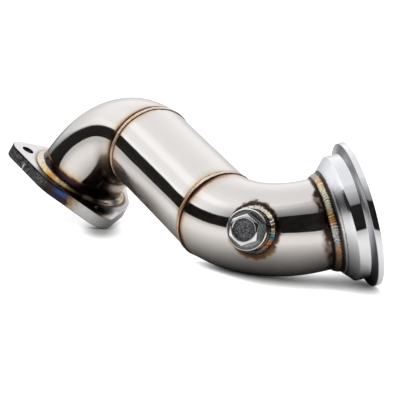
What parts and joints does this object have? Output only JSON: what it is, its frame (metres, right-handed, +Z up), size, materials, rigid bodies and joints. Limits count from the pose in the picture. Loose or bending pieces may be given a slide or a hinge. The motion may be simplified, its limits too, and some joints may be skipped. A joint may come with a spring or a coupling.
{
  "type": "turbo downpipe",
  "caption": "Bent steel exhaust pipe that leads gas away from a turbocharger's turbine, with a bolt flange, a plugged sensor boss and a V-band outlet.",
  "frame": {"origin": "on the floor, under the middle of the whole pipe's bounding box", "axes": "+Z up, with the pipe lying as it rests on a corner of the flange plate, the outside of the lower elbow and the V-band lip; +X the way the V-band outlet faces, seen from above; +Y towards the flange end"},
  "size_m": [0.2324, 0.293, 0.0979],
  "materials": {
    "polished_tube": "mirror-polished stainless steel",
    "plate_steel": "dull cut plate, heat stained near the weld",
    "turned_steel": "fine turned and polished",
    "plug_steel": "plated, satin",
    "weld_bead": "rippled bead with straw and brown heat tint"
  },
  "bodies": {
    "root": {"flange_plate": "plate_steel", "flange_weld": "weld_bead", "upper_elbow": "polished_tube", "upper_seam_weld": "weld_bead", "middle_tube": "polished_tube", "lower_seam_weld": "weld_bead", "lower_elbow": "polished_tube", "sensor_boss": "turned_steel", "boss_weld": "weld_bead", "sensor_plug": "plug_steel", "vband_weld": "weld_bead", "vband_flange": "turned_steel"}
  },
  "joints": []
}
